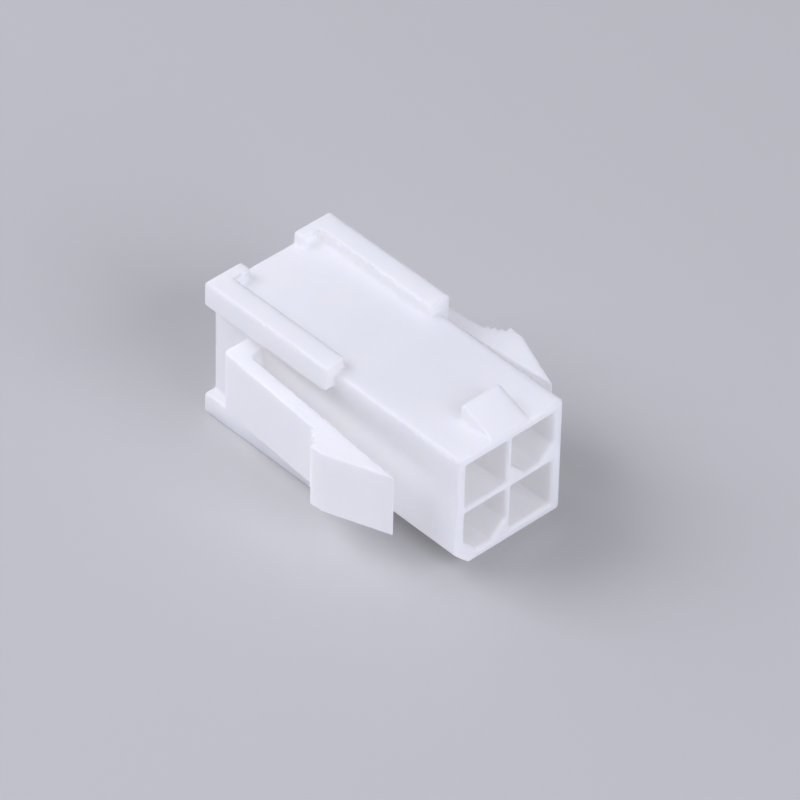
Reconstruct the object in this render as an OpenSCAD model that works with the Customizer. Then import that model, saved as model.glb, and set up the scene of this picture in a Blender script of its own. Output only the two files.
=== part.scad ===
// Plug housing of a two-row crimp connector, moulded in one piece from
// natural white nylon. Mating cells open at the front, a ramp on top takes
// the latch of the other half, and two spring ears snap the housing into a
// panel cut-out against four corner rails.
//
// X runs across the housing, Y from the mating face (-Y) to the wire end
// (+Y), and Z up. The origin is midway along and across, level with the
// underside of the lower rails. All sizes are in millimetres.

/* [Circuits] */
// Number of circuit columns side by side
columns = 2; // [1:1:6]
// Number of circuit rows one above the other
rows = 2; // [1:1:3]
// Spacing of the circuits, across and up
pitch = 4.2; // [4.15:0.05:5.1]
// Width and height of a mating cell
cell = 3.7; // [3.3:0.05:3.75]
// Cut across the two lower corners of every keyed cell
key_cut = 1.2; // [0.8:0.05:1.6]
// Lead-in chamfer round the mouth of a cell
lead_in = 0.18; // [0.08:0.02:0.2]

/* [Body] */
// Length of the body from the mating face to the wire end
body_length = 24; // [22:0.5:32]
// Thickness of the outer walls
wall = 0.85; // [0.6:0.05:1.4]
// Rounding of the outer edges of the body
body_edge = 0.28; // [0.1:0.02:0.4]
// Width of the polarising chamfer along the lower left edge
body_chamfer = 1.33; // [0.6:0.01:1.6]

/* [Terminal passages] */
// Depth of the mating cells from the front
cell_depth = 10.8; // [9:0.1:11.5]
// Thickness of the wall behind each cell
stop_wall = 1.4; // [0.8:0.1:1.6]
// Width of the square hole for the pin through that wall
pin_hole = 2.6; // [2.2:0.05:2.7]
// Width of the chamber that the locking tangs of a terminal spring into
tang_chamber = 3.3; // [3.1:0.05:3.6]
// Distance from the wire end to the shoulder that holds the tangs
shoulder_inset = 8.5; // [7.5:0.1:9]
// Length of the narrow neck behind that shoulder
neck_length = 1; // [0.6:0.1:1.5]
// Width of the narrow neck
neck = 2.75; // [2.7:0.05:2.9]
// Width of the passage from the neck to the wire end
wire_bore = 3.1; // [2.95:0.05:3.3]
// Width of the funnel at the wire end
funnel_mouth = 3.5; // [3.35:0.05:3.75]
// Depth of the funnel at the wire end
funnel_depth = 0.6; // [0.3:0.05:1]

/* [Lock ramp] */
// Width of the ramp
ramp_w = 3.4; // [2.4:0.1:4.5]
// Height of the ramp over the top of the body
ramp_h = 1.2; // [0.9:0.05:1.5]
// Distance of the catch face from the mating face
ramp_catch = 3.1; // [2.5:0.05:4]
// Length of the flat crest
ramp_crest = 0.3; // [0.1:0.05:0.6]
// Distance of the ramp's nose from the mating face
ramp_nose = 0.1; // [0.05:0.05:0.4]
// Height of the ramp at its nose
ramp_nose_h = 0.1; // [0.05:0.05:0.3]

/* [Corner rails] */
// Length of the rails, up to the wire end
rail_length = 12.05; // [10:0.05:13]
// How far the rails stand out from the body
rail_proud = 0.93; // [0.6:0.01:1.2]
// Reach of a rail across the top or underside, from the side of the body
rail_reach = 0.97; // [0.7:0.01:1.2]
// Reach of the upper rails down the side of the body
rail_drop = 1.12; // [0.7:0.01:1.3]
// Reach of the lower rails up the side of the body
rail_rise = 0.8; // [0.5:0.01:1.3]
// Reach of the end lip across the body, from the side of the body
lip_reach = 2.45; // [1.3:0.05:2.5]
// Length of the end lip
lip_length = 1.05; // [0.8:0.05:1.6]
// Rounding of the edges of the rails
rail_edge = 0.24; // [0.1:0.02:0.3]

/* [Snap ears] */
// Height of the ears
ear_height = 5.1; // [3.6:0.1:5.2]
// Distance from the wire end to the back of the ears
ear_inset = 3.45; // [2.5:0.05:4]
// Length of the root that joins an ear to the body
ear_root = 1.55; // [1.2:0.05:2]
// Width of the slit beside an ear, at its root
ear_slit = 1.13; // [1:0.01:1.4]
// Rounding in the two corners at the end of the slit
slit_fillet = 0.4; // [0.2:0.02:0.45]
// Thickness of the arm of an ear
ear_arm = 1.2; // [1:0.05:1.4]
// Outward lean of an ear in degrees
ear_lean = 4.5; // [3.5:0.1:5.5]
// Rounding of the outer back corner of an ear
ear_corner = 0.35; // [0.1:0.05:0.5]
// Thinnest panel that the ears lock
panel_min = 1.25; // [0.8:0.05:1.6]
// Number of locking teeth before the head
teeth = 3; // [0:1:4]
// Spacing of the teeth along the ear
tooth_step = 0.4; // [0.3:0.02:0.45]
// Height of each tooth over the one before
tooth_rise = 0.27; // [0.15:0.01:0.28]
// Hook of each tooth, towards the panel
tooth_hook = 0.08; // [0:0.01:0.12]
// Height of the head over the arm where the teeth start
head_rise = 1.32; // [1.15:0.01:1.6]
// Length of the flat on the head
head_flat = 1; // [0.6:0.05:1.5]
// Length of the sloping nose in front of the flat
nose_length = 5.05; // [4:0.05:5.5]

/* [Hidden] */
$fn = 48;

// How far a cutter reaches past the face that it opens
clear = 1;
// Body
body_w = (columns - 1)*pitch + cell + 2*wall;
body_h = (rows - 1)*pitch + cell + 2*wall;
side_x = body_w/2;
front = -body_length/2;
rear = body_length/2;
bottom_z = rail_proud;
mid_z = bottom_z + body_h/2;
top_z = bottom_z + body_h;
// What stands on the body is rooted this deep in its wall
rooted = wall/2;
// Terminal passages
shoulder_y = rear - shoulder_inset;
// Corner rails
rail_front = rear - rail_length;
rail_round = min(rail_edge, 0.9*rooted);
// Snap ears, worked out for the ear on the right
ear_back = rear - ear_inset;
slit_end = ear_back - ear_root;
arm_inner = side_x + ear_slit;
arm_outer = arm_inner + ear_arm;
// Face where the first tooth locks, then each further tooth and the head
lock_y = [for (i = [0:teeth]) rail_front - panel_min - i*tooth_step];
head_x = arm_x(arm_outer, lock_y[0]) + head_rise;
head_front = lock_y[teeth] - head_flat;
tip_y = head_front - nose_length;

// Place across the housing of a leaning face that starts at x by the slit's end
function arm_x(x, y) = x + (slit_end - y)*tan(ear_lean);

// Keyed cells alternate with square ones, like the squares of a chess board
function is_keyed(column, row) = (column + row) % 2 == 0;

// Rectangle about the centre with its corners rounded
module rounded_rect(w, h, r) {
    square([w - 2*r, h], center = true);
    square([w, h - 2*r], center = true);
    for (x = [-1, 1], z = [-1, 1])
        translate([x*(w/2 - r), z*(h/2 - r)]) circle(r);
}

// Block between two corners with all twelve edges rounded
module soft_block(low, high, r) {
    size = high - low;
    translate((low + high)/2)
        intersection() {
            linear_extrude(size[2], center = true) rounded_rect(size[0], size[1], r);
            rotate([90, 0, 0])
                linear_extrude(size[1], center = true) rounded_rect(size[0], size[2], r);
            rotate([0, 90, 0])
                linear_extrude(size[0], center = true) rounded_rect(size[2], size[1], r);
        }
}

// Profile drawn in Y and Z, and made w wide about the middle of the housing
module across(w) {
    rotate([90, 0, 90]) linear_extrude(w, center = true) children();
}

// Body before it is hollowed, with its polarising chamfer up to the rails
module body_block() {
    cut = sqrt(2)*body_chamfer;
    difference() {
        soft_block([-side_x, front, bottom_z], [side_x, rear, top_z], body_edge);
        translate([-side_x, front - clear, bottom_z])
            rotate([0, 45, 0])
                translate([-cut/2, 0, -cut/2]) cube([cut, rail_front - front + clear, cut]);
    }
}

// Square cutter along a passage, from y0 to y1
module square_run(w, y0, y1) {
    translate([-w/2, y0, -w/2]) cube([w, y1 - y0, w]);
}

// Wedge that widens from inner to outer over the depth in front of y = depth
module flare_wedge(inner, outer, depth) {
    past = outer - inner/2;
    linear_extrude(2*outer, center = true)
        polygon([[-inner/2, depth], [inner/2, depth], [past, -depth], [-past, -depth]]);
}

// Square funnel, open at y = 0
module flare(inner, outer, depth) {
    intersection() {
        flare_wedge(inner, outer, depth);
        rotate([0, 90, 0]) flare_wedge(inner, outer, depth);
    }
}

// Web that fills one lower corner of a keyed cell, chamfered at the mouth
module key_web(side) {
    near = (cell - key_cut)/sqrt(2);
    rotate([0, side > 0 ? 45 : 135, 0])
        linear_extrude(2*cell, center = true)
            polygon([[near + lead_in, 0], [near, lead_in], [near, cell_depth + clear],
                     [cell, cell_depth + clear], [cell, 0]]);
}

// Mating cell from the front face inwards, about its own centre line
module mating_cell(keyed) {
    difference() {
        union() {
            square_run(cell, -clear, cell_depth);
            flare(cell, cell + 2*lead_in, lead_in);
        }
        if (keyed)
            for (side = [-1, 1]) key_web(side);
    }
}

// Everything cut away for one circuit, about its own centre line
module circuit_passage(keyed) {
    translate([0, front, 0]) mating_cell(keyed);
    square_run(pin_hole, front + cell_depth - clear, shoulder_y);
    square_run(tang_chamber, front + cell_depth + stop_wall, shoulder_y);
    square_run(neck, shoulder_y - clear, rear - clear);
    square_run(wire_bore, shoulder_y + neck_length, rear + clear);
    translate([0, rear, 0])
        mirror([0, 1, 0]) flare(wire_bore, funnel_mouth, funnel_depth);
}

// Ramp on top that the latch of the other half rides up and hooks behind
module lock_ramp() {
    across(ramp_w)
        polygon([[front + ramp_nose, top_z - rooted],
                 [front + ramp_nose, top_z + ramp_nose_h],
                 [front + ramp_catch - ramp_crest, top_z + ramp_h],
                 [front + ramp_catch, top_z + ramp_h],
                 [front + ramp_catch, top_z - rooted]]);
}

// Rail round the upper or lower right edge, drawn as if it were the upper one
module corner_rail(edge_z, drop) {
    outer_x = side_x + rail_proud;
    outer_z = edge_z + rail_proud;
    // leg down the side
    soft_block([side_x - rooted, rail_front, edge_z - drop], [outer_x, rear, outer_z], rail_round);
    // leg across the top
    soft_block([side_x - rail_reach, rail_front, edge_z - rooted], [outer_x, rear, outer_z],
               rail_round);
    // lip at the wire end
    soft_block([side_x - lip_reach, rear - lip_length, edge_z - rooted], [outer_x, rear, outer_z],
               rail_round);
}

// All four rails
module rails() {
    for (side = [0, 1])
        mirror([side, 0, 0])
            translate([0, 0, mid_z]) {
                corner_rail(body_h/2, rail_drop);
                mirror([0, 0, 1]) corner_rail(body_h/2, rail_rise);
            }
}

// Teeth and head in outline, from the arm's outer face forwards
function tooth_points() = [
    for (i = [0:teeth])
        let (foot = arm_x(arm_outer, lock_y[0]) + i*tooth_rise,
             crown = i == teeth ? head_x : foot + tooth_rise)
        each [[foot, lock_y[i]], [crown, lock_y[i] + tooth_hook]]
];

// Slit between an ear and the body, with rounded corners at its end
module slit_outline() {
    r = slit_fillet;
    y = slit_end - r;
    translate([side_x + r, y]) circle(r);
    translate([arm_x(arm_inner, y) - r, y]) circle(r);
    translate([side_x + r, y]) square([ear_slit - 2*r, r]);
    polygon([[side_x, y], [arm_x(arm_inner, y), y],
             [arm_x(arm_inner, tip_y - clear), tip_y - clear], [side_x, tip_y - clear]]);
}

// Back of the ear up to its outer corner, which is rounded
module ear_back_outline() {
    r = ear_corner;
    x = arm_x(arm_outer, ear_back - r);
    difference() {
        translate([side_x - rooted, ear_back - ear_root])
            square([x - side_x + rooted, ear_root]);
        translate([x - r, ear_back - r]) square(r + clear);
    }
    translate([x - r, ear_back - r]) circle(r);
}

// Ear on the right, as a profile of constant height
module snap_ear() {
    translate([0, 0, mid_z - ear_height/2])
        linear_extrude(ear_height) {
            ear_back_outline();
            difference() {
                polygon(concat(
                    [[side_x - rooted, ear_back - ear_corner],
                     [arm_x(arm_outer, ear_back - ear_corner), ear_back - ear_corner]],
                    tooth_points(),
                    [[head_x, head_front],
                     [arm_x(arm_inner, tip_y), tip_y],
                     [side_x - rooted, tip_y]]));
                slit_outline();
                translate([side_x - rooted - clear, tip_y - clear])
                    square([rooted + clear, slit_end - slit_fillet - tip_y + clear]);
            }
        }
}

// The whole moulding
module housing() {
    color("#f2f2f4")
        difference() {
            union() {
                body_block();
                lock_ramp();
                rails();
                for (side = [0, 1]) mirror([side, 0, 0]) snap_ear();
            }
            for (column = [0:columns - 1], row = [0:rows - 1])
                translate([(column - (columns - 1)/2)*pitch, 0, mid_z + (row - (rows - 1)/2)*pitch])
                    circuit_passage(is_keyed(column, row));
        }
}

housing();
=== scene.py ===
import math

import bpy
from mathutils import Matrix, Vector


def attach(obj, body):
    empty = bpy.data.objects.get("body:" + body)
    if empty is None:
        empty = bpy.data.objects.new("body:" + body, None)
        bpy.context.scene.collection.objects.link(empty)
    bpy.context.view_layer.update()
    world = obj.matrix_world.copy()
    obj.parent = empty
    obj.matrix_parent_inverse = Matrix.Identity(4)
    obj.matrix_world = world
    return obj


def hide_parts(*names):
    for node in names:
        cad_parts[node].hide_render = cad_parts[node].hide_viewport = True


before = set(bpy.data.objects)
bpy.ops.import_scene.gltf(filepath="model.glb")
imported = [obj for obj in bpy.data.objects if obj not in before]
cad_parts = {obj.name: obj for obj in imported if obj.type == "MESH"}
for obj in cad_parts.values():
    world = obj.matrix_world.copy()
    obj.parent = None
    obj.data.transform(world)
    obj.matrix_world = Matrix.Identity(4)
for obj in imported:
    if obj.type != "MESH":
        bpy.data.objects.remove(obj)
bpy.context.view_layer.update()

# Sizes of the moulding's finish and of the studio, in metres
MM = 0.001
VOXEL = 0.103 * MM          # size of the small faces that the skin is first made of
REMESH_SCALE = 1000         # the remesh works on the piece blown up this many times
FLAT = math.radians(0.5)    # faces that meet at less than this count as flat
WELD = 0.002 * MM           # corners nearer than this are one corner
THIN_RATIO = 0.05           # more than the flats can give, so that all of them are thinned

# Zones of the housing, in millimetres in the row's frame
CELLS_HALF_WIDTH = 4.22     # the cells with their lead-ins lie within this of the middle
CELLS_LOW, CELLS_HIGH = 1.53, 9.93
TEETH_INNER = 6.3           # the ears' teeth lie beyond this, between the next two
TEETH_FRONT, TEETH_REAR = -2.9, -1.0

# Passes of smoothing: more passes leave a rounder edge
ALL_PASSES = 2
OUTER_PASSES = 9
MOUTH_PASSES = 2

# The studio
DAYLIGHT = (0.953, 0.957, 1.093)
AMBIENT = 0.10
LAMP_DISTANCE = 0.5
SOFTBOX = 0.35
BOUNCES = 24                # light bounces many times between the white walls of the cells


# ---------------------------------------------------------------- node maths

class Socket:
    """A node's output, or a number, that adds Math nodes when it is used in a sum."""

    def __init__(self, tree, value):
        self.tree = tree
        self.value = value

    def _math(self, operation, *others):
        node = self.tree.nodes.new("ShaderNodeMath")
        node.operation = operation
        for slot, term in zip(node.inputs, (self, *others)):
            put(self.tree, slot, term)
        return Socket(self.tree, node.outputs[0])

    def __add__(self, other): return self._math("ADD", other)
    def __radd__(self, other): return self._math("ADD", other)
    def __mul__(self, other): return self._math("MULTIPLY", other)
    def __rmul__(self, other): return self._math("MULTIPLY", other)


def put(tree, slot, term):
    """Sets an input to a number or colour, or links a socket to it."""
    value = term.value if isinstance(term, Socket) else term
    if isinstance(value, bpy.types.NodeSocket):
        tree.links.new(value, slot)
    else:
        slot.default_value = value


def background_rays(tree):
    """1 for rays that should meet the plain background: seen, mirrored or through glass."""
    rays = tree.nodes.new("ShaderNodeLightPath")
    kinds = [Socket(tree, rays.outputs[f"Is {kind} Ray"]) for kind in ("Camera", "Glossy", "Transmission")]
    return kinds[0]._math("MAXIMUM", kinds[1])._math("MAXIMUM", kinds[2])


class Finish:
    """A new node material with one Principled shader."""

    def __init__(self, name):
        self.material = bpy.data.materials.new(name)
        self.material.use_nodes = True
        self.tree = self.material.node_tree
        self.shader = self.tree.nodes["Principled BSDF"]

    def node(self, kind, settings=None, output=0, **inputs):
        """Adds a node. Its settings go in first, then the values or links of its sockets."""
        node = self.tree.nodes.new("ShaderNode" + kind)
        for key, value in (settings or {}).items():
            setattr(node, key, value)
        for key, term in inputs.items():
            put(self.tree, node.inputs[key.replace("_", " ")], term)
        return Socket(self.tree, node.outputs[output])

    def surface(self, **inputs):
        for key, term in inputs.items():
            put(self.tree, self.shader.inputs[key.replace("_", " ")], term)


# ------------------------------------------------------------------ material

def natural_nylon():
    """White nylon as moulded: satin, faintly cloudy, and light passes a little way into it."""
    f = Finish("natural_nylon")
    place = f.node("TexCoord", output=3)
    cloud = f.node("TexNoise", Vector=place, Scale=190.0, Detail=3.0, Roughness=0.5)
    grain = f.node("TexNoise", Vector=place, Scale=5200.0, Detail=2.0, Roughness=0.6)
    ripple = f.node("TexNoise", Vector=place, Scale=420.0, Detail=1.0, Roughness=0.4)
    colour = f.node("Mix", {"data_type": "RGBA"}, output=2)
    mix = colour.value.node
    put(f.tree, mix.inputs[0], cloud)
    put(f.tree, mix.inputs[6], (0.940, 0.935, 0.922, 1.0))
    put(f.tree, mix.inputs[7], (0.955, 0.950, 0.940, 1.0))
    relief = grain * 0.25 + ripple * 0.75
    bump = f.node("Bump", Strength=0.20, Distance=0.02 * MM, Height=relief)
    f.surface(Base_Color=colour, Roughness=0.50 + cloud * 0.12, Normal=bump)
    f.shader.inputs["IOR"].default_value = 1.53
    f.shader.inputs["Subsurface Weight"].default_value = 1.0
    f.shader.inputs["Subsurface Radius"].default_value = (1.0, 0.92, 0.80)
    f.shader.inputs["Subsurface Scale"].default_value = 1.8 * MM
    return f.material


def floor_finish():
    """Pale floor: nearly white to the light it throws back, a little greyer where it is seen."""
    f = Finish("studio_floor")
    place = f.node("TexCoord", output=3)
    mottle = f.node("TexNoise", Vector=place, Scale=30.0, Detail=2.0)
    colour = f.node("Mix", {"data_type": "RGBA"}, output=2)
    mix = colour.value.node
    put(f.tree, mix.inputs[0], background_rays(f.tree))
    put(f.tree, mix.inputs[6], (0.86, 0.86, 0.87, 1.0))
    put(f.tree, mix.inputs[7], (0.60, 0.60, 0.59, 1.0))
    f.surface(Base_Color=colour, Roughness=0.75 + mottle * 0.1)
    return f.material


# ------------------------------------------------------------------- housing

def only(piece):
    """Makes a piece the one selected and active object."""
    bpy.ops.object.select_all(action="DESELECT")
    piece.select_set(True)
    bpy.context.view_layer.objects.active = piece


def moulded_copy(name, node):
    """The node's own form as one closed skin of small even faces, a voxel apart."""
    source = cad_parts[node]
    piece = source.copy()
    piece.data = source.data.copy()
    piece.name = name
    piece.data.name = name
    piece.parent = None
    for key in list(piece.keys()):
        del piece[key]
    bpy.context.scene.collection.objects.link(piece)
    only(piece)
    bpy.ops.object.mode_set(mode="EDIT")
    bpy.ops.mesh.select_all(action="SELECT")
    bpy.ops.mesh.remove_doubles(threshold=WELD)
    bpy.ops.transform.resize(value=[REMESH_SCALE] * 3, center_override=(0, 0, 0))
    bpy.ops.object.mode_set(mode="OBJECT")
    piece.data.remesh_voxel_size = VOXEL * REMESH_SCALE
    bpy.ops.object.voxel_remesh()
    bpy.ops.object.mode_set(mode="EDIT")
    bpy.ops.mesh.select_all(action="SELECT")
    bpy.ops.transform.resize(value=[1 / REMESH_SCALE] * 3, center_override=(0, 0, 0))
    bpy.ops.object.mode_set(mode="OBJECT")
    return piece


def soften(piece, name, passes, zone):
    """Rounds the edges in a zone as a mould does, more for more passes."""
    group = piece.vertex_groups.new(name=name)
    points = piece.data.vertices
    inside = [point.index for point in points if zone(*[c / MM for c in point.co])]
    group.add(inside, 1.0, "REPLACE")
    only(piece)
    rounding = piece.modifiers.new(name, "SMOOTH")
    rounding.factor = 0.5
    rounding.iterations = passes
    rounding.vertex_group = name
    bpy.ops.object.modifier_apply(modifier=name)


def in_teeth(x, y, z):
    """The teeth of the ears, which much smoothing would wear away."""
    return abs(x) > TEETH_INNER and TEETH_FRONT < y < TEETH_REAR


def outside(x, y, z):
    """The outer edges of the body, its rails, ramp and ears, but not their teeth."""
    around_cells = abs(x) > CELLS_HALF_WIDTH or z > CELLS_HIGH or z < CELLS_LOW
    return around_cells and not in_teeth(x, y, z)


def mouths(x, y, z):
    """The cells, their mouths and the lands between them."""
    return not outside(x, y, z) and not in_teeth(x, y, z)


def thin_flats(piece):
    """Joins up the small faces wherever the skin is flat and keeps all those on its curves."""
    only(piece)
    piece.vertex_groups.new(name="flats")
    bpy.ops.object.mode_set(mode="EDIT")
    bpy.ops.mesh.select_mode(type="EDGE")
    bpy.ops.mesh.select_all(action="DESELECT")
    bpy.ops.mesh.edges_select_sharp(sharpness=FLAT)
    bpy.ops.mesh.select_mode(type="VERT")
    bpy.ops.mesh.select_all(action="INVERT")
    bpy.ops.object.vertex_group_assign()
    bpy.ops.object.mode_set(mode="OBJECT")
    thin = piece.modifiers.new("thin", "DECIMATE")
    thin.ratio = THIN_RATIO
    thin.vertex_group = "flats"
    thin.use_collapse_triangulate = True
    bpy.ops.object.modifier_apply(modifier=thin.name)


housing = moulded_copy("housing_moulding", "housing")
soften(housing, "all_edges", ALL_PASSES, lambda x, y, z: True)
soften(housing, "outer_edges", OUTER_PASSES, outside)
soften(housing, "mouth_edges", MOUTH_PASSES, mouths)
thin_flats(housing)
bpy.ops.object.shade_smooth()
housing.vertex_groups.clear()
housing.data.materials.clear()
housing.data.materials.append(natural_nylon())
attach(housing, "root")
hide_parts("housing")
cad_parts["housing"].data.materials.clear()
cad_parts["housing"].data.materials.append(housing.data.materials[0])


# -------------------------------------------------------------------- studio

bpy.ops.object.select_all(action="DESELECT")
bpy.ops.mesh.primitive_plane_add(size=3.0, location=(0, 0, 0))
floor = bpy.context.object
floor.name = "floor"
floor.data.materials.append(floor_finish())


def softbox(name, azimuth, elevation, power, size=SOFTBOX):
    """Square area lamp that looks at the housing from a direction in degrees."""
    data = bpy.data.lights.new(name, "AREA")
    data.shape = "SQUARE"
    data.size = size
    data.energy = power
    data.color = DAYLIGHT
    lamp = bpy.data.objects.new(name, data)
    bpy.context.scene.collection.objects.link(lamp)
    a, e = math.radians(azimuth), math.radians(elevation)
    way = Vector((math.sin(a) * math.cos(e), -math.cos(a) * math.cos(e), math.sin(e)))
    lamp.location = way * LAMP_DISTANCE
    lamp.rotation_euler = way.to_track_quat("Z", "Y").to_euler()


softbox("overhead", -60, 80, power=0.19, size=0.80)
softbox("back_left", -140, 45, power=1.36)
softbox("front", 0, 30, power=1.32)
softbox("left_high", -95, 58, power=0.20)
softbox("back", 180, 40, power=0.26)
softbox("right", 90, 35, power=0.10)

world = bpy.data.worlds.new("studio")
bpy.context.scene.world = world
world.use_nodes = True
tree = world.node_tree
tree.nodes.clear()
shown = tree.nodes.new("ShaderNodeBackground")
shown.inputs["Color"].default_value = (1, 1, 1, 1)
ambient = tree.nodes.new("ShaderNodeBackground")
ambient.inputs["Color"].default_value = (*DAYLIGHT, 1)
ambient.inputs["Strength"].default_value = AMBIENT
blend = tree.nodes.new("ShaderNodeMixShader")
put(tree, blend.inputs[0], background_rays(tree))
tree.links.new(ambient.outputs[0], blend.inputs[1])
tree.links.new(shown.outputs[0], blend.inputs[2])
out = tree.nodes.new("ShaderNodeOutputWorld")
tree.links.new(blend.outputs[0], out.inputs["Surface"])

# Camera: its direction round and above the housing, its roll, and the point it looks at
AZIMUTH = math.radians(-43.69)
ELEVATION = math.radians(40.79)
ROLL = math.radians(1.325)
DISTANCE = 464.9 * MM
AIM = Vector((0.866, -0.417, 5.236)) * MM
LENS = 311.8

back = Vector((math.sin(AZIMUTH) * math.cos(ELEVATION),
               -math.cos(AZIMUTH) * math.cos(ELEVATION), math.sin(ELEVATION)))
level = Vector((math.cos(AZIMUTH), math.sin(AZIMUTH), 0))
lift = back.cross(level)
right = level * math.cos(ROLL) + lift * math.sin(ROLL)
up = lift * math.cos(ROLL) - level * math.sin(ROLL)
camera_data = bpy.data.cameras.new("camera")
camera_data.lens = LENS
camera_data.sensor_width = 36.0
camera_data.clip_start = 0.01
camera_data.clip_end = 20.0
camera = bpy.data.objects.new("camera", camera_data)
bpy.context.scene.collection.objects.link(camera)
turn = Matrix((right, up, back)).transposed().to_4x4()
camera.matrix_world = Matrix.Translation(AIM + back * DISTANCE) @ turn
bpy.context.scene.camera = camera
bpy.context.scene.view_settings.view_transform = "Standard"
bpy.context.scene.cycles.max_bounces = BOUNCES
bpy.context.scene.cycles.diffuse_bounces = BOUNCES
